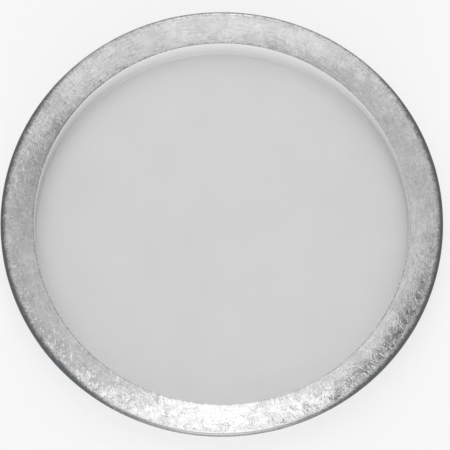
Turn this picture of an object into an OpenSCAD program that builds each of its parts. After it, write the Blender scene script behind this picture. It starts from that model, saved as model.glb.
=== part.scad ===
// Round charger plate: a turned ring glued round a flat board disc, lacquered in the well and
// underneath, with a rim covered in sheets of silver leaf, on a foot ring with felt feet.
// Sizes are in millimetres. The origin is the middle of the plate on the table, +Z is up.

/* [Plate] */
// Overall diameter, over the silver lip
plate_d = 330; // [290:1:380]
// Overall height, from the table to the top of the rim
plate_h = 30; // [25:0.5:36]

/* [Rim] */
// Width of the silver band, from the well's edge to the outermost lip
rim_w = 24.5; // [18:0.5:34]
// Slope of the rim's top where the silver band starts, in degrees
rim_slope_in = 12; // [9:0.5:16]
// Slope of the rim's top where it turns over into the lip, in degrees
rim_slope_out = 5; // [2:0.5:8]
// Radius of the rounded outer lip
lip_r = 2.5; // [1.8:0.1:3.5]
// Radius of the hollow under the rim, where the fingers go
hollow_r = 18; // [15:0.5:26]
// Radius of the outer bottom corner
heel_r = 1.5; // [1:0.1:2.5]

/* [Well] */
// Radius of the rounded edge at the top of the well's wall
edge_r = 1; // [0.8:0.1:2]
// Lean of the well's wall from upright, in degrees
wall_draft = 0.5; // [0.5:0.5:8]
// Radius of the cove where the wall meets the floor
cove_r = 1.5; // [1:0.5:5]

/* [Board and foot] */
// Thickness of the board disc
board_t = 3; // [2.5:0.5:6]
// Width of the ledge inside the ring that sits on the board disc
ledge_w = 4; // [2:0.5:8]
// Thickness of the ring's skirt outside the board disc, lacquer included
skirt_t = 4; // [3:0.5:8]
// Mean diameter of the foot ring
foot_d = 210; // [160:1:240]
// Radial width of the foot ring
foot_w = 10; // [9:0.5:16]
// Height of the foot ring below the lacquered underside
foot_h = 1.5; // [1.2:0.1:4]
// Chamfer on the foot ring's lower edges
foot_chamfer = 0.5; // [0.2:0.1:1]
// Depth of the groove in the board disc that holds the foot ring
groove_depth = 1.2; // [0.6:0.1:2]
// Gap left for glue round pieces that seat in a groove or recess
glue_gap = 0.1; // [0.05:0.05:0.3]

/* [Felt feet] */
// Number of felt feet under the foot ring
felt_count = 4; // [3:1:8]
// Diameter of a felt foot
felt_d = 7; // [5:0.5:7.5]
// Depth of the recess in the foot ring that holds a felt foot
felt_recess = 0.8; // [0.4:0.1:1.5]
// How far a felt foot stands out below the foot ring
felt_proud = 0.8; // [0.5:0.1:2]

/* [Finish] */
// Thickness of the lacquer, and of the undercoat and the leaf together
coat_t = 0.6; // [0.5:0.05:0.8]
// Thickness of a sheet of leaf with its sealing varnish
leaf_t = 0.25; // [0.15:0.05:0.4]
// Number of sheets of leaf laid round the rim
leaf_count = 8; // [6:1:12]
// Angle of the first sheet's edge from +X, in degrees
leaf_start = 15; // [0:1:45]

/* [Hidden] */
$fn = 180;
top_steps = 6;
lip_steps = 14;
edge_steps = 5;
cove_steps = 6;
hollow_steps = 10;
heel_steps = 5;

// Colours of the finishes
lacquer_colour = [0.82, 0.82, 0.82];
silver_colour = [0.77, 0.78, 0.79];
undercoat_colour = [0.3, 0.31, 0.33];
board_colour = [0.66, 0.52, 0.37];
felt_colour = [0.36, 0.36, 0.37];

// Heights of the layers, from the table up
foot_z = felt_proud;
underside_z = foot_z + foot_h;
board_low_z = underside_z + coat_t;
board_top_z = board_low_z + board_t;
floor_z = board_top_z + coat_t;
groove_z = board_low_z + groove_depth;

// A point at distance r and angle a from c, in the section plane: first radius, then height
function at(c, r, a) = c + r * [cos(a), sin(a)];

// Points of an arc, left out from the first one when it carries on from another arc
function arc(c, r, from, to, steps, first = 0) =
    [for (i = [first:steps]) at(c, r, from + (to - from) * i / steps)];

function reversed(points) = [for (i = [len(points) - 1:-1:0]) points[i]];

// Where circles of radius ra and rb round a and b cross, on the right of the way from a to b
function crossing(a, ra, b, rb) =
    let (d = norm(b - a), u = (b - a) / d, along = (ra * ra - rb * rb + d * d) / (2 * d))
    a + along * u + sqrt(ra * ra - along * along) * [u[1], -u[0]];

// Angle of the way from a to b
function heading(a, b) = atan2(b[1] - a[1], b[0] - a[0]);

// Rim: the lip's circle, and the shallow dome of the rim's top that runs into it
lip_c = [plate_d / 2 - lip_r, plate_h - lip_r];
lip_angle = 90 + rim_slope_out;
rim_angle = 90 + rim_slope_in;
rim_inner_r = plate_d / 2 - rim_w;
dome_r = (at(lip_c, lip_r, lip_angle)[0] - rim_inner_r) / (sin(rim_slope_in) - sin(rim_slope_out));
dome_c = at(lip_c, lip_r - dome_r, lip_angle);

// Wall of the well: the rounded edge under the dome, the leaning wall, and the cove at its foot
edge_c = at(dome_c, dome_r - edge_r, rim_angle);
wall_angle = 180 - wall_draft;
function wall_r(z, inset) =
    let (p = at(edge_c, edge_r - inset, wall_angle)) p[0] + (z - p[1]) * tan(wall_draft);
cove_z = floor_z + cove_r;
cove_c = [wall_r(cove_z, 0) - cove_r / cos(wall_draft), cove_z];

// Board disc and the ring's skirt round it
board_r = wall_r(board_top_z, coat_t) + ledge_w;
seat_r = board_r + glue_gap;
heel_c = [seat_r + skirt_t - heel_r, underside_z + heel_r];

// Hollow under the rim: a circle that touches the lip's and the heel's
hollow_c = crossing(heel_c, hollow_r + heel_r, lip_c, hollow_r + lip_r);
lip_end = heading(lip_c, hollow_c);
heel_end = heading(heel_c, hollow_c);

// Foot ring
foot_in_r = (foot_d - foot_w) / 2;
foot_out_r = (foot_d + foot_w) / 2;

// Stretches of the plate's outside, moved into the material by inset
function edge_path(inset) = arc(edge_c, edge_r - inset, wall_angle, rim_angle, edge_steps);
function rim_path(inset, first = 0) = concat(
    arc(dome_c, dome_r - inset, rim_angle, lip_angle, top_steps, first),
    arc(lip_c, lip_r - inset, lip_angle, lip_end, lip_steps, 1));
function underside_path(inset, first = 0) = concat(
    arc(hollow_c, hollow_r + inset, lip_end + 180, heel_end + 180, hollow_steps, first),
    arc(heel_c, heel_r - inset, heel_end, -90, heel_steps, 1));

// A coat between two depths below the finished rim
module rim_section(outer_inset, inner_inset) {
    polygon(concat(rim_path(outer_inset), reversed(rim_path(inner_inset))));
}

// One copy for each number, at the places of the felt feet under the foot ring
module at_felt_feet(numbers) {
    for (i = numbers)
        rotate([0, 0, 360 * (i - 0.5) / felt_count])
            translate([foot_d / 2, 0, 0])
                children();
}

// Flat board that carries the floor of the well, grooved underneath for the foot ring
module base_disc() {
    color(board_colour)
        difference() {
            translate([0, 0, board_low_z])
                cylinder(r = board_r, h = board_t);
            rotate_extrude()
                translate([foot_in_r - glue_gap, board_low_z - board_t])
                    square([foot_w + 2 * glue_gap, board_t + groove_depth]);
        }
}

// Turned ring with the wall, the rim and the hollow under it, rabbeted over the board disc
module rim_ring() {
    color(board_colour)
        rotate_extrude()
            polygon(concat(
                [[wall_r(board_top_z, coat_t), board_top_z]],
                edge_path(coat_t),
                rim_path(coat_t, 1),
                underside_path(coat_t, 1),
                [[seat_r, board_low_z], [seat_r, board_top_z]]));
}

// Lacquer on the floor, the cove and the wall of the well, over the edge to the silver
module well_lacquer() {
    color(lacquer_colour)
        rotate_extrude()
            polygon(concat(
                [[0, floor_z]],
                arc(cove_c, cove_r, -90, -wall_draft, cove_steps),
                edge_path(0),
                reversed(edge_path(coat_t)),
                [[wall_r(board_top_z, coat_t), board_top_z], [0, board_top_z]]));
}

// Dark coat on the rim that the leaf is laid on
module rim_undercoat() {
    color(undercoat_colour)
        rotate_extrude()
            rim_section(leaf_t, coat_t);
}

// One sheet of leaf, from the well's edge over the lip to the underside
module rim_leaf(number) {
    sheet_angle = 360 / leaf_count;
    color(silver_colour)
        rotate([0, 0, leaf_start + sheet_angle * (number - 1)])
            rotate_extrude(angle = sheet_angle)
                rim_section(0, leaf_t);
}

// Lacquer under the plate, outside and inside the foot ring
module underside_lacquer() {
    color(lacquer_colour) {
        rotate_extrude()
            polygon(concat(
                underside_path(0),
                [[foot_out_r + glue_gap, underside_z], [foot_out_r + glue_gap, board_low_z]],
                reversed(underside_path(coat_t))));
        translate([0, 0, underside_z])
            cylinder(r = foot_in_r - glue_gap, h = coat_t);
    }
}

// Foot ring, glued into the groove of the board disc
module foot_ring() {
    color(lacquer_colour)
        difference() {
            rotate_extrude()
                polygon([
                    [foot_in_r + foot_chamfer, foot_z],
                    [foot_out_r - foot_chamfer, foot_z],
                    [foot_out_r, foot_z + foot_chamfer],
                    [foot_out_r, groove_z],
                    [foot_in_r, groove_z],
                    [foot_in_r, foot_z + foot_chamfer]]);
            at_felt_feet([1:felt_count])
                cylinder(d = felt_d + 2 * glue_gap, h = foot_z + felt_recess);
        }
}

// Felt foot in its recess under the foot ring
module felt_foot(number) {
    color(felt_colour)
        at_felt_feet([number])
            cylinder(d = felt_d, h = felt_proud + felt_recess);
}

base_disc();
rim_ring();
foot_ring();
well_lacquer();
underside_lacquer();
rim_undercoat();
for (i = [1:leaf_count])
    rim_leaf(i);
for (i = [1:felt_count])
    felt_foot(i);
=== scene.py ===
# %% [markdown]
# # A charger plate with a silver-leaf rim
#
# A charger plate is the wide plate that stays on the table under the dinner plate. This one is turned
# from pressed board: a ring with the wall and the rim is glued round a flat disc, the well and the
# underside are sprayed with pale grey lacquer, and the rim is covered with sheets of silver leaf laid
# on a dark undercoat.
#
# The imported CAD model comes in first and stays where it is. Its axis is +Z, the table is z = 0, and
# lengths are in metres. Each piece below stands in for one CAD node and takes its sizes from the
# frame, so the plate gains finish and keeps its dimensions.

import math
from functools import partial

import bmesh
import bpy
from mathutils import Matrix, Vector


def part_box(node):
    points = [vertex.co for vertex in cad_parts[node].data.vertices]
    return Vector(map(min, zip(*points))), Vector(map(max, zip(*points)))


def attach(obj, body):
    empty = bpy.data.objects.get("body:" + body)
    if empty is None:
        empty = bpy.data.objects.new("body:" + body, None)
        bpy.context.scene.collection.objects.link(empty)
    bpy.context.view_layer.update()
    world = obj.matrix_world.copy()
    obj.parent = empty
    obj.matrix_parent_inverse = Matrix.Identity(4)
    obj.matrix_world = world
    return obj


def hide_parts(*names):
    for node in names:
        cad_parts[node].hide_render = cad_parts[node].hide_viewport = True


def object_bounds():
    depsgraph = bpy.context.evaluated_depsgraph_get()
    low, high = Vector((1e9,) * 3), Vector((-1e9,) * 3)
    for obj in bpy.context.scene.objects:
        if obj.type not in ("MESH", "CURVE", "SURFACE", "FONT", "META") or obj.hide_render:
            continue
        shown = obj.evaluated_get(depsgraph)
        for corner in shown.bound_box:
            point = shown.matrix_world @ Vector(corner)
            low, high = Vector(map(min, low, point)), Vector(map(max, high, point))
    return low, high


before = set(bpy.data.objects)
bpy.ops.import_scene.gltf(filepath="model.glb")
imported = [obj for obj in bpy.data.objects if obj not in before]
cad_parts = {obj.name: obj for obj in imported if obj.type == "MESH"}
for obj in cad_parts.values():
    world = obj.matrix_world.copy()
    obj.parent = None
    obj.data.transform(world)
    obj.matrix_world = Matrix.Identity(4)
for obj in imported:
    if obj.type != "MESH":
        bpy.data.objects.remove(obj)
cad_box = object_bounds()
MM = 0.001


def in_mm(box):
    return [[round(value / MM, 3) for value in corner] for corner in box]


print("CAD nodes:", ", ".join(sorted(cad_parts)))
print("CAD box in mm:", in_mm(cad_box))

# %% [markdown]
# ## One section for the whole plate
#
# All of the plate but its felt feet is a body of revolution, so one drawing of its section gives
# every surface. In that drawing the first number is the radius and the second the height. The outer
# sizes are read from the frame's nodes. The radii and slopes that a turner would cut to are named
# here, because a mesh of triangles no longer says what its arcs were. Slopes are in degrees.

# %% Sizes of the section
plate_r, plate_h = cad_box[1].x, cad_box[1].z
board_low, board_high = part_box("base_disc")
foot_low, foot_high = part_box("foot_ring")
underside_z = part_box("underside_lacquer")[0].z
coat_t = board_low.z - underside_z
floor_z = board_high.z + coat_t

rim_w = 24.5 * MM
rim_slope_in = 12
rim_slope_out = 5
lip_r = 2.5 * MM
edge_r = 1.0 * MM
wall_draft = 0.5
cove_r = 1.5 * MM
hollow_r = 18.0 * MM
heel_r = 1.5 * MM
skirt_t = 4.0 * MM
glue_gap = 0.1 * MM
foot_w = 10.0 * MM
foot_chamfer = 0.5 * MM
print(f"well {(plate_r - rim_w) * 2 / MM:.1f} mm across, {(plate_h - floor_z) / MM:.1f} mm deep")

# %% [markdown]
# Arcs are worked out from their centres. Two coats at different depths then share a centre and differ
# only in radius, so they lie on each other without a gap, as they do on the real plate.


# %% Arcs of the section
def at(centre, radius, degrees):
    turn = math.radians(degrees)
    return centre + radius * Vector((math.cos(turn), math.sin(turn)))


def arc(centre, radius, start, end, steps):
    return [at(centre, radius, start + (end - start) * i / steps) for i in range(steps + 1)]


def heading(a, b):
    return math.degrees(math.atan2(b.y - a.y, b.x - a.x))


def crossing(a, radius_a, b, radius_b):
    """Where two circles cross, on the right of the way from a to b."""
    way = b - a
    along = (radius_a**2 - radius_b**2 + way.length_squared) / (2 * way.length)
    aside = math.sqrt(radius_a**2 - along**2)
    way.normalize()
    return a + along * way + aside * Vector((way.y, -way.x))


wall_angle = 180 - wall_draft
rim_angle = 90 + rim_slope_in
lip_angle = 90 + rim_slope_out
lip_c = Vector((plate_r - lip_r, plate_h - lip_r))
dome_span = at(lip_c, lip_r, lip_angle).x - (plate_r - rim_w)
dome_r = dome_span / (math.sin(math.radians(rim_slope_in)) - math.sin(math.radians(rim_slope_out)))
dome_c = at(lip_c, lip_r - dome_r, lip_angle)
edge_c = at(dome_c, dome_r - edge_r, rim_angle)
heel_c = Vector((board_high.x + glue_gap + skirt_t - heel_r, underside_z + heel_r))
hollow_c = crossing(heel_c, hollow_r + heel_r, lip_c, hollow_r + lip_r)
lip_end = heading(lip_c, hollow_c)
heel_end = heading(heel_c, hollow_c)


def wall_r(z, inset=0.0):
    top = at(edge_c, edge_r - inset, wall_angle)
    return top.x + (z - top.y) * math.tan(math.radians(wall_draft))


cove_z = floor_z + cove_r
cove_c = Vector((wall_r(cove_z) - cove_r / math.cos(math.radians(wall_draft)), cove_z))
print(f"rim dome radius {dome_r / MM:.1f} mm, floor {cove_c.x * 2 / MM:.1f} mm across inside its cove")

# %% [markdown]
# The drawing is put together from stretches: the edge of the well, the rim over to its lip, and the
# hollow with the heel. Each can be moved into the material by an inset, which is how the coats and
# the leaf below find their depth. Straight runs and corners fill in the rest.

# %% Stretches of the section
edge_steps, dome_steps, lip_steps, hollow_steps, heel_steps = 8, 12, 20, 24, 8


def edge_path(inset):
    return arc(edge_c, edge_r - inset, wall_angle, rim_angle, edge_steps)


def rim_path(inset):
    dome = arc(dome_c, dome_r - inset, rim_angle, lip_angle, dome_steps)
    lip = arc(lip_c, lip_r - inset, lip_angle, lip_end, lip_steps)
    return dome + lip[1:]


def underside_path(inset):
    hollow = arc(hollow_c, hollow_r + inset, lip_end + 180, heel_end + 180, hollow_steps)
    heel = arc(heel_c, heel_r - inset, heel_end, -90, heel_steps)
    return hollow + heel[1:]


def line(start, end, steps):
    return [start.lerp(end, i / steps) for i in range(steps + 1)]


def corners(*pairs):
    return [Vector(pair) for pair in pairs]


def closed(points):
    return points + points[:1]


print("rim path:", len(rim_path(0)), "points; underside path:", len(underside_path(0)), "points")

# %% [markdown]
# ## Small helpers for node trees
#
# Geometry Nodes and shaders are both trees of nodes joined by links. In a script each node and each
# link would need a line. These helpers add a node, set it up and fill its inputs in one call, so a
# tree reads from top to bottom like a sum. An input takes either a plain value or another node's
# output, and a node that follows others goes into their tree.


# %% Node helpers
def feed(socket, value):
    if isinstance(value, bpy.types.NodeSocket):
        socket.id_data.links.new(value, socket)
    else:
        socket.default_value = value


def put(tree, kind, inputs=None, **settings):
    node = tree.nodes.new(kind)
    for name, value in settings.items():
        setattr(node, name, value)
    for key, value in (inputs or {}).items():
        feed(node.inputs[key], value)
    return node


def follow(kind, inputs, **settings):
    """Outputs of a new node, in the tree that its inputs come from."""
    tree = next(value.id_data for value in inputs.values() if isinstance(value, bpy.types.NodeSocket))
    return put(tree, kind, inputs, **settings).outputs


def new_tree(name, kind, inputs, outputs):
    """A node group with named sockets; inputs and outputs list the names for each kind of socket."""
    tree = bpy.data.node_groups.new(name, kind + "NodeTree")
    for in_out, sockets in (("INPUT", inputs), ("OUTPUT", outputs)):
        for socket, labels in sockets.items():
            for label in labels.split(", "):
                tree.interface.new_socket(label, in_out=in_out, socket_type="NodeSocket" + socket)
    return tree, tree.nodes.new("NodeGroupInput").outputs, tree.nodes.new("NodeGroupOutput").inputs


print("node helpers ready")


# %% Sums and noise with nodes
def reckon(operation, *terms):
    return follow("ShaderNodeMath", dict(enumerate(terms)), operation=operation)[0]


plus, minus, times, over, highest, times_plus = (
    partial(reckon, name) for name in ("ADD", "SUBTRACT", "MULTIPLY", "DIVIDE", "MAXIMUM", "MULTIPLY_ADD")
)


def ranged(value, low, high, to_low=0.0, to_high=1.0, smooth=False):
    terms = {0: value, 1: low, 2: high, 3: to_low, 4: to_high}
    kind = "SMOOTHSTEP" if smooth else "LINEAR"
    return follow("ShaderNodeMapRange", terms, interpolation_type=kind)[0]


def band(value, limits):
    """One between the two middle limits, fading to nothing at the outer two."""
    start, full, fading, end = limits
    return times(ranged(value, start, full), ranged(value, fading, end, 1.0, 0.0))


def blended(factor, a, b):
    return follow("ShaderNodeMix", {0: factor, 2: a, 3: b}, data_type="FLOAT")[0]


def vectors(operation, *terms):
    made = follow("ShaderNodeVectorMath", dict(enumerate(terms)), operation=operation)
    return made["Value" if operation in ("DOT_PRODUCT", "LENGTH") else "Vector"]


dot = partial(vectors, "DOT_PRODUCT")


def scaled(vector, factor):
    return follow("ShaderNodeVectorMath", {"Vector": vector, "Scale": factor}, operation="SCALE")[0]


def combined(x=0.0, y=0.0, z=0.0):
    return follow("ShaderNodeCombineXYZ", {"X": x, "Y": y, "Z": z})[0]


def separated(vector):
    return follow("ShaderNodeSeparateXYZ", {"Vector": vector})


def along_and_across(turn):
    """Unit vectors along a direction in the plane and square to it."""
    cosine, sine = reckon("COSINE", turn), reckon("SINE", turn)
    return combined(cosine, sine), combined(times(sine, -1.0), cosine)


def noise(place, scale=1.0, detail=2.0, seed=None):
    terms = {"Vector": place, "Scale": scale, "Detail": detail}
    if seed is None:
        return follow("ShaderNodeTexNoise", terms)
    return follow("ShaderNodeTexNoise", {**terms, "W": seed}, noise_dimensions="4D")


print("sums ready")

# %% [markdown]
# ## Shader groups: what several finishes share
#
# Lacquer, silver, undercoat, board and felt all vary in tone, and each has a grain or scratches too.
# Each of these effects is one node group, placed where a material needs it with values of its own. A
# group puts out only values and vectors, and the Principled shader stays in the material.
#
# The first group is a mottle: noise of a size given in millimetres, spread between two values.

# %% Mottle group
noise_low, noise_middle, noise_high = 0.3, 0.5, 0.7
mottle_detail = 4.0
mottle_group, given, put_out = new_tree(
    "mottle", "Shader", {"Vector": "Place", "Float": "Size, Low, High"}, {"Float": "Value"}
)
cloud = noise(given["Place"], over(1.0, given["Size"]), mottle_detail)[0]
feed(put_out["Value"], ranged(cloud, noise_low, noise_high, given["Low"], given["High"]))
print("group:", mottle_group.name)

# %% [markdown]
# The second group is the scratches of a burnished surface. A bump map would blur them, because each is
# thinner than a pixel of the picture. Instead the plane is cut into Voronoi cells, each cell holds
# one scratch at its own random angle that tapers to both ends, and the group puts out how far the two
# sides of the groove tilt the surface. A material adds that tilt to its normal, and stacks several
# sizes. Half a scratch's length is a share of its cell, and its width is scaled along it.

# %% Scratches group
shortest, longest = 0.3, 0.8
width_middle, width_end = 1.4, 0.2
fading_from = 0.6
shift_aside = 0.618
scratch_group, given, put_out = new_tree(
    "crossed_scratches",
    "Shader",
    {"Vector": "Place", "Float": "Cell, Width, Slope, Share, Shift"},
    {"Vector": "Tilt", "Float": "Mask"},
)
shift = combined(given["Shift"], times(given["Shift"], shift_aside))
place = vectors("ADD", scaled(given["Place"], over(1.0, given["Cell"])), shift)
cells = follow("ShaderNodeTexVoronoi", {"Vector": place, "Scale": 1.0}, voronoi_dimensions="2D")
draw = separated(cells["Color"])
along_way, across_way = along_and_across(times(draw["X"], math.pi))
reach = scaled(vectors("SUBTRACT", place, cells["Position"]), given["Cell"])
half_length = times(given["Cell"], ranged(draw["Y"], 0.0, 1.0, shortest, longest))
along = over(reckon("ABSOLUTE", dot(reach, along_way)), half_length)
tapered = times(given["Width"], ranged(along, 0.0, 1.0, width_middle, width_end))
across = over(dot(reach, across_way), tapered)
side = follow("ShaderNodeClamp", {"Value": across, "Min": -1.0, "Max": 1.0})[0]
ends = ranged(along, fading_from, 1.0, 1.0, 0.0, smooth=True)
present = times(ends, reckon("LESS_THAN", draw["Z"], given["Share"]))
steep = times(reckon("SINE", times(side, math.pi)), given["Slope"])
feed(put_out["Tilt"], scaled(across_way, times(steep, present)))
depth = minus(1.0, times(side, side))
feed(put_out["Mask"], times(depth, present))
print("group:", scratch_group.name)

# %% [markdown]
# The third group is grain: a fine random tilt with no direction, such as orange peel in a sprayed
# lacquer or the crinkle of leaf on its glue.

# %% Grain group
grain_group, given, put_out = new_tree(
    "grain_tilt", "Shader", {"Vector": "Place", "Float": "Size, Slope"}, {"Vector": "Tilt"}
)
swing = noise(given["Place"], over(1.0, given["Size"]))["Color"]
swing = vectors("SUBTRACT", swing, (noise_middle, noise_middle, noise_middle))
feed(put_out["Tilt"], scaled(swing, given["Slope"]))
print("group:", grain_group.name)

# %% [markdown]
# The fourth group is brushed hairlines: noise drawn out along one direction, which tilts the surface to
# either side of it. The swing of the noise is cubed, so that most of the surface stays flat and a few
# hairs are deep. Several such layers at different angles give metal that was rubbed by hand.

# %% Brushed group
brushed_group, given, put_out = new_tree(
    "brushed_hairlines",
    "Shader",
    {"Vector": "Place", "Float": "Angle, Width, Length, Slope"},
    {"Vector": "Tilt", "Float": "Value"},
)
along_way, across_way = along_and_across(given["Angle"])
along = over(dot(given["Place"], along_way), given["Length"])
across = over(dot(given["Place"], across_way), given["Width"])
drawn = noise(combined(along, across, given["Angle"]))[0]
swing = minus(drawn, noise_middle)
peaked = times(swing, times(swing, swing))
feed(put_out["Tilt"], scaled(across_way, times(peaked, given["Slope"])))
feed(put_out["Value"], ranged(drawn, noise_low, noise_high))
print("group:", brushed_group.name)

# %% [markdown]
# ## Finishes
#
# Every finish reads Object coordinates, turned into millimetres, so that a scratch of 0.3 is a scratch
# of 0.3 mm. The pieces all sit at the origin, and the pattern therefore stays put on each. Values that
# belong together are one tuple, in the order that the helper below takes them.


# %% Groups in a material
def use_group(group, inputs):
    return follow("ShaderNodeGroup", inputs, node_tree=group)


def mottle(place, size, low=0.0, high=1.0):
    return use_group(mottle_group, {"Place": place, "Size": size, "Low": low, "High": high})["Value"]


def clouds(place, large, small, small_share, squeeze=1.0):
    """Two sizes of mottle; a squeeze draws the first out along y and the second along x."""
    first = mottle(vectors("MULTIPLY", place, (1.0, squeeze, 1.0)), large)
    second = mottle(vectors("MULTIPLY", place, (squeeze, 1.0, 1.0)), small)
    return blended(small_share, first, second)


def scratches(place, layers):
    """Tilts and one joint mask of several layers, each (cell, width, slope, share, shift)."""
    tilts, mask = [], 0.0
    for cell, width, slope, share, shift in layers:
        values = {"Cell": cell, "Width": width, "Slope": slope, "Share": share, "Shift": shift}
        made = use_group(scratch_group, {"Place": place, **values})
        tilts.append(made["Tilt"])
        mask = highest(mask, made["Mask"])
    return tilts, mask


def grain(place, size, slope):
    return use_group(grain_group, {"Place": place, "Size": size, "Slope": slope})["Tilt"]


def brushed(place, degrees, width, length, slope):
    values = {"Angle": math.radians(degrees), "Width": width, "Length": length, "Slope": slope}
    return use_group(brushed_group, {"Place": place, **values})


print("group helpers ready")


# %% Material helpers
def grey(value, blue=0.0):
    return (value * (1 - blue), value, value * (1 + blue), 1.0)


def colour_mix(factor, a, b):
    return follow("ShaderNodeMix", {0: factor, 6: a, 7: b}, data_type="RGBA")[2]


def new_material(name):
    material = bpy.data.materials.new(name)
    material.use_nodes = True
    place = put(material.node_tree, "ShaderNodeTexCoord").outputs["Object"]
    return material, scaled(place, 1 / MM)


def dress(material, colour, roughness, tilts, metallic=0.0):
    normal = put(material.node_tree, "ShaderNodeNewGeometry").outputs["Normal"]
    for tilt in tilts:
        normal = vectors("ADD", normal, tilt)
    shader = material.node_tree.nodes["Principled BSDF"].inputs
    feed(shader["Base Color"], colour)
    feed(shader["Metallic"], metallic)
    feed(shader["Roughness"], roughness)
    feed(shader["Normal"], vectors("NORMALIZE", normal))
    return material


print("material helpers ready")

# %% [markdown]
# The lacquer is a neutral pale grey with a satin gloss. What makes it lacquer and not plain grey is
# slight: a soft cloudiness from the spray gun, fine orange peel, and hairline marks from wiping that
# only show in the gloss. The well and the underside share one recipe, and the underside is duller
# and more scuffed.

# %% Lacquer
spray_clouds = (38.0, 1.3, 0.3)
sheen_size, sheen_swing, mark_dulling = 9.0, 0.05, 0.08
orange_peel, slow_waves = (1.6, 0.012), (14.0, 0.01)
well_marks = [(16.0, 0.12, 0.03, 0.5, 3.0), (9.0, 0.1, 0.025, 0.4, 11.0)]
under_marks = [(12.0, 0.15, 0.08, 0.6, 5.0), (6.0, 0.12, 0.07, 0.5, 17.0), (25.0, 0.2, 0.1, 0.4, 23.0)]


def lacquer(name, light, dark, roughness, marks):
    material, place = new_material(name)
    tone = clouds(place, *spray_clouds)
    tilts, mask = scratches(place, marks)
    tilts += [grain(place, *orange_peel), grain(place, *slow_waves)]
    sheen = mottle(place, sheen_size, roughness - sheen_swing, roughness + sheen_swing)
    sheen = plus(sheen, times(mask, mark_dulling))
    return dress(material, colour_mix(tone, grey(dark), grey(light)), sheen, tilts)


well_finish = lacquer("grey_lacquer_well", light=0.645, dark=0.615, roughness=0.36, marks=well_marks)
under_finish = lacquer("grey_lacquer_underside", light=0.62, dark=0.57, roughness=0.5, marks=under_marks)
foot_finish = lacquer("grey_lacquer_foot", light=0.61, dark=0.54, roughness=0.48, marks=under_marks)
print("lacquers:", well_finish.name, under_finish.name, foot_finish.name)

# %% [markdown]
# The silver leaf is metal, so its look is nearly all reflection. Rubbing it down by hand breaks that up:
# hairlines cross in four directions, with single strokes among them, and the leaf keeps a slight
# crinkle. The place that the pattern reads is bent a little first, because no hand rubs quite straight.

# %% Rubbed by hand
hair_angles = (12, 55, 98, 141)
hair_width, hair_length, hair_slope = 0.85, 5.0, 6.5
patch_size, patch_least, patch_apart = 14.0, 0.25, 40.0
hand_bend = (18.0, 6.0)
strokes = [(7.0, 0.2, 0.1, 0.6, 7.0), (5.2, 0.18, 0.1, 0.6, 29.0), (3.6, 0.16, 0.09, 0.6, 41.0)]
crinkles = [(0.9, 0.03), (9.0, 0.045)]


def rubbed_by_hand(place):
    """Tilts of all the marks, a mask of the strokes and a mean value of the hairlines."""
    bent = vectors("ADD", place, grain(place, *hand_bend))
    tilts, marked = scratches(bent, strokes)
    hatch = 0.0
    for number, degrees in enumerate(hair_angles):
        patch = vectors("ADD", place, (0.0, 0.0, patch_apart * number))
        slope = times(mottle(patch, patch_size, patch_least, 1.0), hair_slope)
        hairs = brushed(bent, degrees, hair_width, hair_length, slope)
        tilts.append(hairs["Tilt"])
        hatch = times_plus(hairs["Value"], 1 / len(hair_angles), hatch)
    tilts += [grain(place, *crinkle) for crinkle in crinkles]
    return tilts, marked, hatch


print("hairlines at", hair_angles, "degrees")

# %% [markdown]
# Left and right, where hands lift the plate, the lip is rubbed through to the dark coat, and this dark
# band is also painted dark reflection of the dim sides of the room. In front, a bright band along the lip
# is a painted highlight. Both are masks that depend on how far a spot lies inside the outer edge, in
# millimetres, and on the way that it faces from the axis. The mottle frays the dark band.

# %% Lip wear, painted dark reflection and painted highlight
# reach of the dark lip band, which is part wear and part painted dark reflection of the dim sides
dark_lip_back, dark_lip_front, dark_lip_sides, dark_lip_fade = 0.9, -1.0, 3.8, 4.2
dark_lip_frays = [(1.6, 1.1), (7.0, 0.5)]
side_start, side_full, side_forward = 0.2, 0.6, -0.2
# painted highlight: a bright band along the front of the lip, set by the way it faces and by its distance
# inside the edge
highlight_band = (-4.2, -2.4, -1.4, -0.6)
highlight_sides, highlight_front = -0.91, -0.985


def lip_highlight_and_dark_band(place, radius):
    """Masks of the painted highlight and of the dark band on the lip, which is part wear and part painted
    dark reflection.
    """
    facing = separated(vectors("NORMALIZE", place))
    past_edge = minus(radius, plate_r / MM)
    # painted highlight along the front of the lip
    highlight = ranged(facing["Y"], highlight_sides, highlight_front)
    highlight = times(highlight, band(past_edge, highlight_band))
    # the dark band reaches furthest at the sides: partly wear where hands lift the plate, partly painted
    # dark reflection
    endwise = ranged(facing["Y"], -1.0, 1.0, dark_lip_front, dark_lip_back)
    sideways = times(facing["X"], facing["X"])
    sideways = times_plus(facing["Y"], side_forward, sideways)
    depth = blended(ranged(sideways, side_start, side_full), endwise, dark_lip_sides)
    depth = plus(past_edge, depth)
    for size, fray in dark_lip_frays:
        depth = plus(depth, mottle(place, size, -fray, fray))
    return highlight, ranged(depth, -dark_lip_fade / 2, dark_lip_fade / 2, smooth=True)


print("lip worn", dark_lip_sides, "mm inwards at the sides")

# %% [markdown]
# The leaf also took its glue unevenly, which shows as soft clouds, and it keeps faint streaks round the
# rim from the brush that laid it. Each sheet has a tone of its own, read from an attribute of its mesh.

# %% Silver leaf
leaf_dark, leaf_light = grey(0.24, -0.003), grey(0.515, -0.003)
# colour of the dark lip band, which is part wear and part painted dark reflection, then colour of the
# painted highlight
dark_lip_colour, leaf_highlight = grey(0.1, 0.08), grey(0.64, 0.03)
leaf_clouds, hatch_share, stroke_gain = (11.0, 2.2, 0.5), 0.35, 0.15
streak_size, streak_squeeze, streak_share = 1.2, 0.12, 0.28
leaf_sheen, dark_lip_roughness, dark_lip_metal = (6.0, 0.1, 0.17), 0.45, 0.35
rim_middle_r = plate_r - rim_w / 2


def round_the_rim(place):
    """Millimetres along the rim and out from the axis."""
    spot = separated(place)
    turn = reckon("ARCTAN2", spot["Y"], spot["X"])
    radius = vectors("LENGTH", combined(spot["X"], spot["Y"]))
    return times(turn, rim_middle_r / MM), radius


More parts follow.
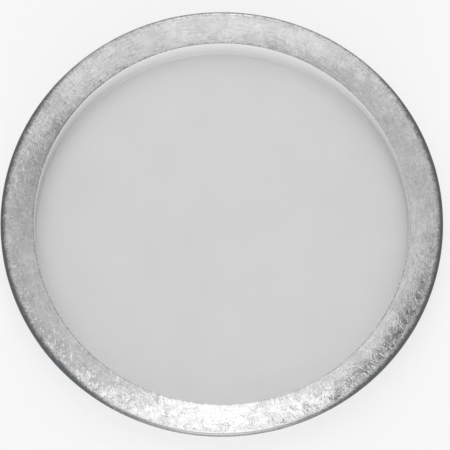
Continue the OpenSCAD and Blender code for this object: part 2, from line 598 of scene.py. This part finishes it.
def silver_leaf():
    material, place = new_material("burnished_leaf")
    tilts, marked, hatch = rubbed_by_hand(place)
    around, radius = round_the_rim(place)
    streaks = mottle(combined(times(around, streak_squeeze), radius), streak_size)
    tone = blended(hatch_share, clouds(place, *leaf_clouds), hatch)
    sheet = put(material.node_tree, "ShaderNodeAttribute", attribute_name="sheet_tone")
    tone = plus(blended(streak_share, tone, streaks), sheet.outputs["Fac"])
    tone = times_plus(marked, stroke_gain, tone)
    highlight, darkened = lip_highlight_and_dark_band(place, radius)
    silver = colour_mix(tone, leaf_dark, leaf_light)
    # the painted highlight is mixed over the silver at the front of the lip
    silver = colour_mix(highlight, silver, leaf_highlight)
    # the dark lip band, which is part wear and part painted dark reflection, sets roughness, metal and
    # colour here
    sheen = blended(darkened, mottle(place, *leaf_sheen), dark_lip_roughness)
    metallic = ranged(darkened, 0.0, 1.0, 1.0, dark_lip_metal)
    return dress(material, colour_mix(darkened, silver, dark_lip_colour), sheen, tilts, metallic)


leaf_finish = silver_leaf()
print("finish:", leaf_finish.name)

# %% [markdown]
# The undercoat shows only where the leaf is torn, at its edges and seams. It is a dark, matt,
# slightly bluish paint with brush-fine grain. The board inside never shows on a whole plate, but the
# CAD disc and ring keep their meshes, and pressed fibreboard has a look of its own: short pale and
# dark fibres in a brown ground.


# %% Undercoat and board
def dull_finish(name, dark, light, cloudy, sheen, nap):
    material, place = new_material(name)
    colour = colour_mix(clouds(place, *cloudy), dark, light)
    return dress(material, colour, mottle(place, *sheen), [grain(place, *nap)])


undercoat_finish = dull_finish(
    "dark_undercoat",
    dark=grey(0.07, 0.12),
    light=grey(0.14, 0.1),
    cloudy=(7.0, 0.8, 0.5),
    sheen=(3.0, 0.5, 0.7),
    nap=(0.5, 0.1),
)
board_finish = dull_finish(
    "pressed_board",
    dark=(0.26, 0.15, 0.07, 1.0),
    light=(0.5, 0.35, 0.2, 1.0),
    cloudy=(0.5, 0.6, 0.5, 0.25),
    sheen=(2.0, 0.75, 0.95),
    nap=(0.4, 0.25),
)
for node in ("base_disc", "rim_ring"):
    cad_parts[node].data.materials.clear()
    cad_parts[node].data.materials.append(board_finish)
print("finishes:", undercoat_finish.name, board_finish.name)

# %% [markdown]
# ## Turned pieces
#
# A lathe in Blender can be the Screw modifier, the Spin tool or a curve with a bevel. Here it is a
# Geometry Nodes tree, because eight pieces use the same rule and the tree keeps it in one place. It
# lays out a grid with one row for each point of the section and one column for each step round the
# axis, then moves every grid point to its place on the circle. Merge by Distance closes the seam and
# the pole. Like every tree here it ends in Realize Instances and Set Material.

# %% Turned piece tree
seam_gap = 1e-6


def geometry(kind, inputs, **settings):
    return follow("GeometryNode" + kind, inputs, **settings)[0]


def round_the_axis(radius, turn, height):
    x = times(radius, reckon("COSINE", turn))
    y = times(radius, reckon("SINE", turn))
    return combined(x, y, height)


def deliver(shape, material, socket):
    shape = follow("GeometryNodeRealizeInstances", {"Geometry": shape})[0]
    shape = follow("GeometryNodeSetMaterial", {"Geometry": shape, "Material": material})[0]
    feed(socket, shape)
    print("tree:", socket.id_data.name)


turned_tree, given, put_out = new_tree(
    "turned_piece",
    "Geometry",
    {"Geometry": "Section", "Int": "Steps", "Material": "Material"},
    {"Geometry": "Piece"},
)
count = geometry("AttributeDomainSize", {"Geometry": given["Section"]})
grid = geometry("MeshGrid", {"Vertices X": plus(given["Steps"], 1.0), "Vertices Y": count})
index = put(turned_tree, "GeometryNodeInputIndex").outputs[0]
row = reckon("MODULO", index, count)
column = reckon("FLOOR", over(index, count))
position = put(turned_tree, "GeometryNodeInputPosition").outputs[0]
point = geometry("SampleIndex", {0: given["Section"], 1: position, 2: row}, data_type="FLOAT_VECTOR")
point = separated(point)
turn = over(times(column, math.tau), given["Steps"])
spun = round_the_axis(point["X"], turn, point["Z"])
shape = geometry("SetPosition", {"Geometry": grid, "Position": spun})
shape = geometry("MergeByDistance", {"Geometry": shape, "Distance": seam_gap})
deliver(shape, given["Material"], put_out["Piece"])

# %% [markdown]
# A draft object carries the section and the modifier. Its evaluated result becomes a plain mesh, the
# draft is thrown away, and the plain piece is what rides on the CAD body. Normals are worked out anew
# on the closed shell, and edges sharper than 35 degrees stay crisp under smooth shading.

# %% From draft to plain piece
crisp_angle = math.radians(35)
double_gap = 1e-7
plate_steps = 240


def draft_object(name, data):
    draft = bpy.data.objects.new(name, data)
    bpy.context.scene.collection.objects.link(draft)
    return draft


def section_draft(name, points):
    mesh = bpy.data.meshes.new(name)
    links = [(i, i + 1) for i in range(len(points) - 1)]
    mesh.from_pydata([(p.x, 0.0, p.y) for p in points], links, [])
    return draft_object(name, mesh)


def shape_with(draft, tree, values):
    modifier = draft.modifiers.new(tree.name, "NODES")
    modifier.node_group = tree
    sockets = {item.name: item.identifier for item in tree.interface.items_tree if item.in_out == "INPUT"}
    for name, value in values.items():
        modifier[sockets[name]] = value


def made_mesh(draft):
    depsgraph = bpy.context.evaluated_depsgraph_get()
    mesh = bpy.data.meshes.new_from_object(
        draft.evaluated_get(depsgraph), preserve_all_data_layers=True, depsgraph=depsgraph
    )
    bpy.data.objects.remove(draft)
    return mesh


def turned(name, points, material):
    draft = section_draft(name + ".section", points)
    shape_with(draft, turned_tree, {"Steps": plate_steps, "Material": material})
    return made_mesh(draft)


def plain_piece(name, meshes, slot, *nodes):
    work = bmesh.new()
    for mesh in meshes:
        work.from_mesh(mesh)
    bmesh.ops.remove_doubles(work, verts=work.verts, dist=double_gap)
    bmesh.ops.recalc_face_normals(work, faces=work.faces)
    for face in work.faces:
        face.smooth = True
    open_edges = sum(not edge.is_manifold for edge in work.edges)
    work.to_mesh(mesh)
    work.free()
    mesh.set_sharp_from_angle(angle=crisp_angle)
    finish = mesh.materials[-1]
    mesh.materials.clear()
    mesh.materials.append(finish)
    mesh.name = name
    piece = draft_object(name, mesh)
    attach(piece, "root")
    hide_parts(*nodes)
    print(f"{name}: {len(mesh.polygons)} faces, {open_edges} open edges")


print("piece helpers ready")

# %% [markdown]
# ### Well and undercoat
#
# The well's lacquer is one skin over the floor, up the cove and the wall and over the edge to the
# silver, a closed shell with the coat's thickness. At its upper edge it thins out a little, which
# leaves room for the leaf that laps over it. The undercoat runs under the leaf from that edge to the
# underside of the lip.

# %% Turn the well and the undercoat
undercoat_depth = 0.2 * MM
edge_feather = 0.2 * MM
feather_run = 0.2
floor_steps, cove_steps, wall_steps = 12, 10, 8

edge_arc = edge_path(0)
feathered = []
for i, (skin, board) in enumerate(zip(edge_arc, edge_path(coat_t))):
    thinned = min(1.0, i / (len(edge_arc) - 1) / feather_run)
    feathered.append(skin.lerp(board, thinned * edge_feather / coat_t))
floor_points = line(Vector((0.0, floor_z)), Vector((cove_c.x, floor_z)), floor_steps)
wall_foot = arc(cove_c, cove_r, -90, -wall_draft, cove_steps)
wall_points = line(wall_foot[-1], feathered[0], wall_steps)
well_top = floor_points + wall_foot[1:] + wall_points[1:] + feathered[1:]
well_back = corners((wall_r(board_high.z, coat_t), board_high.z), (0.0, board_high.z))
well_section = well_top + edge_path(coat_t)[::-1] + well_back
plain_piece("well_coat", [turned("well", well_section, well_finish)], "well_lacquer", "well_lacquer")

undercoat_section = closed(rim_path(undercoat_depth) + rim_path(coat_t)[::-1])
undercoat_mesh = turned("undercoat", undercoat_section, undercoat_finish)
plain_piece("rim_base_coat", [undercoat_mesh], "undercoat", "rim_undercoat")

# %% [markdown]
# ### Underside
#
# The underside has two skins, outside and inside the foot ring. They are turned one by one, and the
# helper above joins their meshes into one piece.

# %% Turn the underside
foot_out_r = foot_high.x
foot_in_r = foot_out_r - foot_w
skin_out_r = foot_out_r + glue_gap
skin_in_r = foot_in_r - glue_gap
skin_foot = corners((skin_out_r, underside_z), (skin_out_r, board_low.z))
outer_skin = closed(underside_path(0) + skin_foot + underside_path(coat_t)[::-1])
inner_skin = corners(
    (0.0, underside_z),
    (skin_in_r, underside_z),
    (skin_in_r, board_low.z),
    (0.0, board_low.z),
)
both_skins = [turned("skin", section, under_finish) for section in (outer_skin, inner_skin)]
plain_piece("underside_coat", both_skins, "underside_lacquer", "underside_lacquer")

# %% [markdown]
# ### Foot ring
#
# The foot ring is turned like the rest and then drilled for its felt feet. Drilling is a second
# Geometry Nodes tree on the same draft: one cutter is instanced on the points of a circle, the copies
# are realized, and a Mesh Boolean takes them away. The number of feet and their places come from the
# frame's own felt nodes.

# %% Drilling tree
drill_tree, given, put_out = new_tree(
    "drilled_recesses",
    "Geometry",
    {
        "Geometry": "Piece",
        "Int": "Count",
        "Float": "Circle Radius, First Angle, Hole Radius, Ceiling",
        "Material": "Material",
    },
    {"Geometry": "Piece"},
)
ring = geometry("MeshCircle", {"Vertices": given["Count"], "Radius": given["Circle Radius"]})
spin = combined(0.0, 0.0, given["First Angle"])
ring = geometry("Transform", {"Geometry": ring, "Rotation": spin})
hole = {"Vertices": 48, "Radius": given["Hole Radius"], "Depth": times(given["Ceiling"], 2.0)}
cutter = geometry("MeshCylinder", hole)
cutters = geometry("InstanceOnPoints", {"Points": ring, "Instance": cutter})
cutters = geometry("RealizeInstances", {"Geometry": cutters})
cut = geometry("MeshBoolean", {0: given["Piece"], 1: cutters}, operation="DIFFERENCE")
deliver(cut, given["Material"], put_out["Piece"])

# %% Turn and drill the foot ring
foot_steps = 192
felt_nodes = sorted(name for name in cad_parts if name.startswith("felt_foot_"))
felt_boxes = [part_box(name) for name in felt_nodes]
felt_centres = [(low + high) / 2 for low, high in felt_boxes]
felt_r = (felt_boxes[0][1].x - felt_boxes[0][0].x) / 2
felt_top = felt_boxes[0][1].z

foot_section = closed(corners(
    (foot_in_r + foot_chamfer, foot_low.z),
    (foot_out_r - foot_chamfer, foot_low.z),
    (foot_out_r, foot_low.z + foot_chamfer),
    (foot_out_r, foot_high.z),
    (foot_in_r, foot_high.z),
    (foot_in_r, foot_low.z + foot_chamfer),
))
foot_draft = section_draft("foot.section", foot_section)
shape_with(foot_draft, turned_tree, {"Steps": foot_steps, "Material": foot_finish})
shape_with(foot_draft, drill_tree, {
    "Count": len(felt_nodes),
    "Circle Radius": felt_centres[0].xy.length,
    "First Angle": math.atan2(felt_centres[0].y, felt_centres[0].x),
    "Hole Radius": felt_r + glue_gap,
    "Ceiling": felt_top,
    "Material": foot_finish,
})
plain_piece("turned_foot", [made_mesh(foot_draft)], "foot_lacquer", "foot_ring")

# %% [markdown]
# ## Silver leaf
#
# Leaf is laid in sheets, and each sheet has torn edges and laps over the next one. A plain ring with a
# silver shader would lose that, so each sheet is its own piece from one Geometry Nodes tree. The tree
# starts from a flat grid: one side runs round the rim, and the other follows the rim's section as a
# rail.

# %% Leaf sheet tree
leaf_tree, given, put_out = new_tree(
    "leaf_sheet",
    "Geometry",
    {
        "Geometry": "Section",
        "Float": "Start, Sweep, Lap, Rise, Radius, Fray, Fray Size, Set Back, Wave, Wave Size, Lift, Tone",
        "Int": "Columns, Rows, Seed",
        "Material": "Material",
    },
    {"Geometry": "Sheet"},
)
size = {"Size X": 1.0, "Size Y": 1.0, "Vertices X": given["Columns"], "Vertices Y": given["Rows"]}
grid = geometry("MeshGrid", size)
spot = separated(put(leaf_tree, "GeometryNodeInputPosition").outputs[0])
u = plus(spot["X"], 0.5)
v = plus(spot["Y"], 0.5)
rail = geometry("MeshToCurve", {"Mesh": given["Section"]})
rail_length = geometry("CurveLength", {"Curve": rail})
whole_sweep = plus(given["Sweep"], given["Lap"])
bearing = times_plus(u, whole_sweep, given["Start"])
around = times(bearing, given["Radius"])
outward = times(v, rail_length)
print("inputs of a sheet:", len(given) - 1)

# %% [markdown]
# Torn edges come from seeded noise, read along each edge in a row of its own. The noise shortens or
# shifts the grid's lines, so the faces stay whole. Along the well the tear is slight, and at the back
# of the plate the sheet stops a little earlier, where the sine of its bearing is high.

# %% Torn edges
torn, hardly_torn = (noise_low, noise_high), (0.45, 0.8)
inner_row, outer_row, near_row, far_row = 3.0, 19.0, 31.0, 47.0
back_start, back_full = 0.5, 0.9


def frayed(place, row, limits):
    """Noise along one edge, as a length from nothing up to the Fray input."""
    spot = combined(over(place, given["Fray Size"]), row)
    return ranged(noise(spot, seed=given["Seed"])[0], *limits, 0.0, given["Fray"])


back = ranged(reckon("SINE", bearing), back_start, back_full, 0.0, given["Set Back"], smooth=True)
inner_end = plus(frayed(around, inner_row, hardly_torn), back)
outer_end = minus(rail_length, frayed(around, outer_row, torn))
run = blended(v, inner_end, outer_end)
near_side = over(frayed(outward, near_row, torn), given["Radius"])
far_side = over(frayed(outward, far_row, torn), given["Radius"])
turn = blended(u, near_side, plus(whole_sweep, far_side))
turn = plus(turn, given["Start"])
print("rows of noise:", inner_row, outer_row, near_row, far_row)

# %% [markdown]
# The sheet is then bent over the rail. It gets a slight waviness, and its far end rises over a long
# way, so that it lies on the neighbour without a kink. Both are small heights along the rail's normal,
# which is its tangent turned by a right angle.

# %% Waves and laps
wave_low, wave_high, wave_detail = 0.25, 0.75, 3.0
sample = follow("GeometryNodeSampleCurve", {"Curves": rail, "Length": run}, mode="LENGTH")
on_rail = separated(sample["Position"])
rail_way = separated(sample["Tangent"])
wave_place = combined(over(around, given["Wave Size"]), over(outward, given["Wave Size"]))
waves = noise(wave_place, detail=wave_detail, seed=given["Seed"])[0]
wave = times(ranged(waves, wave_low, wave_high, -1.0, 1.0), given["Wave"])
lap_start = over(minus(given["Sweep"], given["Rise"]), whole_sweep)
lap_full = over(given["Sweep"], whole_sweep)
lift = times(ranged(u, lap_start, lap_full, smooth=True), given["Lift"])
raised = plus(wave, lift)
sheet_r = minus(on_rail["X"], times(raised, rail_way["Z"]))
sheet_z = times_plus(raised, rail_way["X"], on_rail["Z"])
laid = round_the_axis(sheet_r, turn, sheet_z)
sheet = geometry("SetPosition", {"Geometry": grid, "Position": laid})
sheet = geometry("FlipFaces", {"Mesh": sheet})
toned = {"Geometry": sheet, "Name": "sheet_tone", "Value": given["Tone"]}
sheet = geometry("StoreNamedAttribute", toned, data_type="FLOAT", domain="POINT")
deliver(sheet, given["Material"], put_out["Sheet"])

# %% [markdown]
# Eight sheets go round the rim, in the same places as the CAD's eight leaf nodes. They are pressed over
# the rounded edge of the well, and less far at the back. The whole sheet lies a little below the CAD
# skin, so that laps stay inside it, and a Solidify modifier gives it its thickness. The tones come
# from a short rule and not from chance, so that neighbours always differ.

# %% Lay the sheets
leaf_nodes = sorted(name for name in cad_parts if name.startswith("rim_leaf_"))
leaf_start = math.radians(15)
leaf_sweep = math.tau / len(leaf_nodes)
leaf_lap, lap_rise = 2.5 * MM, 14.0 * MM
leaf_depth, leaf_thickness = 0.1 * MM, 0.04 * MM
leaf_wrap, back_wrap, wrap_steps = 32, 22, 10
tone_swing, tone_step = 0.06, 2.4
first_leaf_seed = 10

pressed_r = edge_r - leaf_depth
leaf_section = arc(edge_c, pressed_r, rim_angle + leaf_wrap, rim_angle, wrap_steps)
leaf_section += rim_path(leaf_depth)[1:]
for number, node in enumerate(leaf_nodes):
    draft = section_draft(node + ".section", leaf_section)
    shape_with(draft, leaf_tree, {
        "Start": leaf_start + leaf_sweep * number,
        "Sweep": leaf_sweep,
        "Lap": leaf_lap / rim_middle_r,
        "Rise": lap_rise / rim_middle_r,
        "Radius": rim_middle_r,
        "Columns": 200,
        "Rows": 44,
        "Fray": 0.8 * MM,
        "Fray Size": 1.5 * MM,
        "Set Back": math.radians(leaf_wrap - back_wrap) * pressed_r,
        "Wave": 0.018 * MM,
        "Wave Size": 8.0 * MM,
        "Lift": 0.055 * MM,
        "Tone": tone_swing * math.sin(tone_step * number),
        "Seed": first_leaf_seed + number,
        "Material": leaf_finish,
    })
    thickness = draft.modifiers.new("thickness", "SOLIDIFY")
    thickness.thickness = leaf_thickness
    thickness.offset = -1.0
    plain_piece(f"leaf_sheet_{number + 1}", [made_mesh(draft)], "silver_leaf", node)

# %% [markdown]
# ## Felt feet
#
# The feet are solid discs of pressed wool felt. Turned with rounded edges they would look like rubber,
# so a tree roughens the disc and scatters short fibres over it: points are distributed on the faces, a
# thin bent tube is instanced on each, and all is realized. Points that would hang below the table are
# set on it.

# %% Felt tree
lump_scale, lump_middle = 1500.0, 0.75
felt_tree, given, put_out = new_tree(
    "felted",
    "Geometry",
    {
        "Geometry": "Disc",
        "Vector": "Place",
        "Float": "Roughen, Fibre Length, Fibre Radius, Density",
        "Int": "Seed",
        "Material": "Material",
    },
    {"Geometry": "Felt"},
)
position = put(felt_tree, "GeometryNodeInputPosition").outputs[0]
lumps = noise(position, lump_scale, seed=given["Seed"])[0]
dent = times(minus(lumps, lump_middle), given["Roughen"])
offset = scaled(put(felt_tree, "GeometryNodeInputNormal").outputs[0], dent)
disc = geometry("SetPosition", {"Geometry": given["Disc"], "Offset": offset})

half = times(given["Fibre Length"], 0.5)
bend = geometry("CurvePrimitiveBezierSegment", {
    "Resolution": 4,
    "Start": scaled((-1.0, 0.0, 0.0), half),
    "Start Handle": scaled((0.0, 1.0, 0.15), half),
    "End Handle": scaled((1.0, 0.5, 0.0), half),
    "End": scaled((1.0, 0.0, 0.1), half),
})
rod = geometry("CurvePrimitiveCircle", {"Resolution": 3, "Radius": given["Fibre Radius"]})
fibre = geometry("CurveToMesh", {"Curve": bend, "Profile Curve": rod, "Fill Caps": True})
scattered = {"Mesh": disc, "Density": given["Density"], "Seed": given["Seed"]}
scatter = follow("GeometryNodeDistributePointsOnFaces", scattered)
draws = {"Min": 0.0, "Max": math.tau, "Seed": given["Seed"]}
spins = follow("FunctionNodeRandomValue", draws, data_type="FLOAT")
spin = combined(0.0, 0.0, [output for output in spins if output.enabled][0])
about = {0: scatter["Rotation"], 1: spin}
about = follow("FunctionNodeRotateRotation", about, rotation_space="LOCAL")[0]
nap = {"Points": scatter["Points"], "Instance": fibre, "Rotation": about}
nap = geometry("RealizeInstances", {"Geometry": geometry("InstanceOnPoints", nap)})
joined = put(felt_tree, "GeometryNodeJoinGeometry")
for shape in (disc, nap):
    feed(joined.inputs[0], shape)
moved = geometry("Transform", {"Geometry": joined.outputs[0], "Translation": given["Place"]})
spot = separated(position)
kept = combined(spot["X"], spot["Y"], highest(spot["Z"], 0.0))
moved = geometry("SetPosition", {"Geometry": moved, "Position": kept})
deliver(moved, given["Material"], put_out["Felt"])

# %% [markdown]
# Each foot is a turned disc with rounded edges in a dull, grainy grey, run through that tree with a
# seed of its own, at the place of its CAD node.

# %% Press the feet
felt_round = 0.25 * MM
face_steps, round_steps, felt_steps = 8, 5, 56
first_felt_seed = 60
felt_finish = dull_finish(
    "wool_felt",
    dark=grey(0.07),
    light=grey(0.16),
    cloudy=(1.2, 0.25, 0.6),
    sheen=(0.8, 0.85, 1.0),
    nap=(0.3, 0.4),
)

low_edge = Vector((felt_r - felt_round, felt_round))
high_edge = Vector((felt_r - felt_round, felt_top - felt_round))
felt_section = line(Vector((0.0, 0.0)), Vector((low_edge.x, 0.0)), face_steps)
felt_section += arc(low_edge, felt_round, -90, 0, round_steps)[1:]
felt_section += arc(high_edge, felt_round, 0, 90, round_steps)
felt_section += line(Vector((high_edge.x, felt_top)), Vector((0.0, felt_top)), face_steps)[1:]
for number, (node, centre) in enumerate(zip(felt_nodes, felt_centres)):
    draft = section_draft(node + ".section", felt_section)
    shape_with(draft, turned_tree, {"Steps": felt_steps, "Material": felt_finish})
    shape_with(draft, felt_tree, {
        "Place": (centre.x, centre.y, 0.0),
        "Roughen": 0.06 * MM,
        "Fibre Length": 0.8 * MM,
        "Fibre Radius": 0.018 * MM,
        "Density": 6.0e6,
        "Seed": first_felt_seed + number,
        "Material": felt_finish,
    })
    plain_piece(f"pressed_felt_{number + 1}", [made_mesh(draft)], "felt", node)

# %% [markdown]
# ## Floor
#
# The plate stands on a plain pale sweep. Seen by the camera, or mirrored in the silver, most of its
# brightness is its own, which keeps the ground an even near-white. The rest is lit, so the plate
# still drops a soft shadow on it. The floor's back is clear, so that the underside can be looked at.

# %% Floor
ground_tone, lit_share = 0.93, 0.35
floor_half = 6.0


def floor_finish():
    material = bpy.data.materials.new("pale_floor")
    material.use_nodes = True
    tree = material.node_tree
    tree.nodes.remove(tree.nodes["Principled BSDF"])
    path = put(tree, "ShaderNodeLightPath").outputs
    seen = highest(path["Is Camera Ray"], path["Is Glossy Ray"])
    seen = highest(seen, path["Is Transmission Ray"])
    lit = put(tree, "ShaderNodeBsdfDiffuse", {"Color": grey(ground_tone)}).outputs[0]
    glow = put(tree, "ShaderNodeEmission", {"Color": grey(ground_tone), "Strength": 1.0}).outputs[0]
    shown = times(seen, 1.0 - lit_share)
    top = follow("ShaderNodeMixShader", {0: shown, 1: lit, 2: glow})[0]
    clear = put(tree, "ShaderNodeBsdfTransparent").outputs[0]
    back = put(tree, "ShaderNodeNewGeometry").outputs["Backfacing"]
    both = follow("ShaderNodeMixShader", {0: back, 1: top, 2: clear})[0]
    feed(tree.nodes["Material Output"].inputs["Surface"], both)
    return material


floor_mesh = bpy.data.meshes.new("floor")
quarters = ((-1, -1), (1, -1), (1, 1), (-1, 1))
floor_mesh.from_pydata([(x * floor_half, y * floor_half, 0.0) for x, y in quarters], [], [(0, 1, 2, 3)])
floor_mesh.materials.append(floor_finish())
floor = draft_object("floor", floor_mesh)
print("floor:", 2 * floor_half, "m square")

# %% [markdown]
# ## Light
#
# Silver shows the room more than itself, so the room matters. Its ends are bright, and its sides are
# dim, which draws the dark lip at the left and right. A pale haze stands at floor height. A direction
# in the world is a unit vector, so its parts say how high and which way it points.

# %% Walls of the room
front_tone, back_tone, side_tone, end_sharpness = 1.2, 1.4, 0.4, 4.0
world = bpy.data.worlds.new("studio")
world.use_nodes = True
bpy.context.scene.world = world
tree = world.node_tree
direction = put(tree, "ShaderNodeTexCoord").outputs["Generated"]
way = separated(direction)
level = separated(vectors("NORMALIZE", combined(way["X"], way["Y"])))
endwise = reckon("POWER", reckon("ABSOLUTE", level["Y"]), end_sharpness)
ends = ranged(way["Y"], -1.0, 1.0, front_tone, back_tone)
walls = blended(endwise, side_tone, ends)
print("walls: ends", front_tone, back_tone, "sides", side_tone)

# %% [markdown]
# The ceiling is bright. It gets brighter to the left and to the back, where it also glows, and never
# falls below a least tone. Two dark flags hang below it, and the rim mirrors them as dark patches full
# of bright scratches on both sides of its glare. A dim beam across it shades the rim further back.
# Places on the ceiling are lengths across and along for one length of height, and the flags and the
# beam differ between left and right.

# %% Ceiling of the room
overhead_tone, overhead_least = 0.97, 0.8
overhead_lean = (-0.6, 1.0, 0.0)
least_height, middle_blur = 0.05, 0.05
glow_tone, glow_low, glow_high = 0.26, 0.42, 0.72
beam_lean, beam_limits = 0.45, (0.22, 0.28, 0.3, 0.5)
beam_left, beam_right = 0.1, 0.28
flag_across, flag_along = (0.05, 0.075, 0.175, 0.235), (0.33, 0.365, 0.48, 0.54)
flag_tone, flag_left, flag_right = 0.03, 1.0, 0.25
haze_tone, haze_low, haze_high = 0.93, 0.04, 0.18
ceiling_low, ceiling_high = 0.7, 0.9


def left_to_right(left, right):
    return ranged(way["X"], -middle_blur, middle_blur, left, right)


height = highest(way["Z"], least_height)
across = reckon("ABSOLUTE", over(way["X"], height))
along = over(way["Y"], height)
ceiling = plus(dot(direction, overhead_lean), overhead_tone)
ceiling = highest(ceiling, overhead_least)
glow = ranged(along, glow_low, glow_high)
ceiling = times_plus(glow, glow_tone, ceiling)
beam = band(times_plus(across, beam_lean, along), beam_limits)
beam = times(beam, left_to_right(beam_left, beam_right))
ceiling = blended(beam, ceiling, 0.0)
flag = times(band(across, flag_across), band(along, flag_along))
flag = times(flag, left_to_right(flag_left, flag_right))
ceiling = blended(flag, ceiling, flag_tone)

room = blended(ranged(way["Z"], ceiling_low, ceiling_high, smooth=True), walls, ceiling)
room = blended(ranged(way["Z"], haze_low, haze_high, smooth=True), haze_tone, room)
feed(tree.nodes["Background"].inputs["Color"], grey(1.0))
feed(tree.nodes["Background"].inputs["Strength"], room)
print("ceiling:", overhead_tone, "overhead and at least", overhead_least)

# %% [markdown]
# Five lamps do the rest. The back box is the white glare on the front of the rim, and a round dish
# overhead brightens the back of it. Three fills light the lacquer from above, in front and behind, and
# the silver doesn't mirror them. A lamp's power is worked out from the brightness that it should show
# in a mirror, which is power over area and pi.


# %% Soft boxes
def softbox(name, place, target, size, brightness, mirrored=True, shape="RECTANGLE"):
    """An area lamp at a place, facing a target; both are in metres from the middle of the plate."""
    light = bpy.data.lights.new(name, "AREA")
    light.shape = shape
    light.size, light.size_y = size
    area = size[0] * size[1] * (math.pi / 4 if shape == "ELLIPSE" else 1.0)
    light.energy = brightness * math.pi * area
    lamp = draft_object(name, light)
    lamp.location = place
    lamp.rotation_euler = (Vector(target) - Vector(place)).to_track_quat("-Z", "Y").to_euler()
    lamp.visible_camera = False
    lamp.visible_glossy = mirrored
    print(f"{name}: {light.energy:.2f} W")


softbox("back_box", (0.0, 1.843, 2.973), (0.0, 0.0, 0.0), size=(0.5, 1.5), brightness=1.42)
dish = {"size": (1.02, 0.94), "brightness": 0.77, "shape": "ELLIPSE"}
softbox("overhead_dish", (0.17, 0.3, 3.0), (0.17, 0.3, 0.0), **dish)
softbox("top_fill", (0.0, 0.15, 3.0), (0.0, 0.15, 0.0), size=(1.3, 1.3), brightness=1.8, mirrored=False)
softbox("front_fill", (0.0, -3.0, 0.2), (0.0, 0.0, 0.02), size=(1.6, 0.4), brightness=33.0, mirrored=False)
softbox("back_fill", (0.0, 3.0, 0.2), (0.0, 0.0, 0.02), size=(2.8, 0.4), brightness=6.0, mirrored=False)

# %% [markdown]
# ## Camera
#
# The picture looks down on the plate from well above, tilted a little towards the front, so that only
# the back wall of the well shows. A long lens keeps the rim close to a true circle.

# %% Camera
camera_tilt = math.radians(16.5)
camera_distance = 2.8
camera_aim = Vector((0.0024, -0.0009, 0.02))
camera_way = Vector((0.0, -math.sin(camera_tilt), math.cos(camera_tilt)))
camera = bpy.data.cameras.new("camera")
camera.lens = 300.0
camera.sensor_width = 36.0
viewer = draft_object("camera", camera)
viewer.location = camera_aim + camera_distance * camera_way
viewer.rotation_euler = (camera_tilt, 0.0, 0.0)
bpy.context.scene.camera = viewer
bpy.context.scene.view_settings.view_transform = "Standard"
print("camera at", [round(value, 3) for value in viewer.location])
